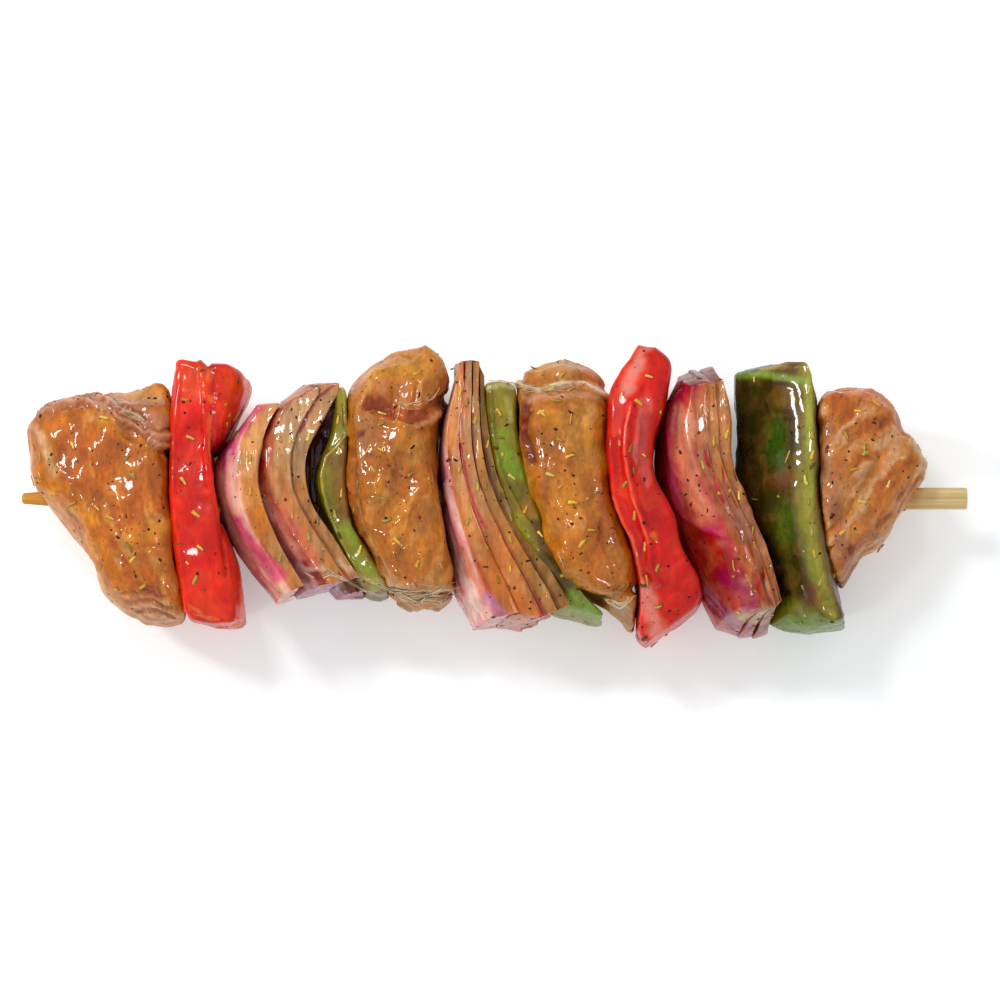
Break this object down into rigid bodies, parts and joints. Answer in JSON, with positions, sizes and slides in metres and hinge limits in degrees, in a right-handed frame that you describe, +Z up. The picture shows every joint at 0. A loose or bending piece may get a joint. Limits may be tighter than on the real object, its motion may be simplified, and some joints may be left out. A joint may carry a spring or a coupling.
{
  "type": "chicken kebab skewer",
  "caption": "Raw marinated chicken kebab: chicken chunks, red and green pepper slabs and red onion petals threaded on a bamboo stick, lying flat.",
  "frame": {"origin": "on the surface that the kebab lies on, under the middle of its outer box", "axes": "+X along the stick from its tapered point to its sawn end, +Y across the stick towards the far side in the picture, +Z up"},
  "size_m": [0.2032, 0.0627, 0.04],
  "materials": {
    "bamboo": "bare pale bamboo with fine lengthwise fibres",
    "raw_chicken": "raw chicken under a wet orange-brown marinade",
    "red_pepper": "fresh red pepper, wet with marinade",
    "green_pepper": "fresh green pepper, wet with brownish marinade",
    "red_onion": "red onion layers with pink-purple skins and tan cut edges, wet with marinade"
  },
  "bodies": {
    "root": {"skewer": "bamboo", "chicken_1": "raw_chicken", "chicken_2": "raw_chicken", "chicken_3": "raw_chicken", "chicken_4": "raw_chicken", "red_pepper_1": "red_pepper", "red_pepper_2": "red_pepper", "green_pepper_1": "green_pepper", "green_pepper_2": "green_pepper", "green_pepper_3": "green_pepper", "onion_1_outer": "red_onion", "onion_1_middle": "red_onion", "onion_1_inner": "red_onion", "onion_1_core": "red_onion", "onion_2_layer_1": "red_onion", "onion_2_layer_2": "red_onion", "onion_2_layer_3": "red_onion", "onion_2_layer_4": "red_onion", "onion_3_layer_1": "red_onion", "onion_3_layer_2": "red_onion", "onion_3_layer_3": "red_onion"}
  },
  "joints": []
}
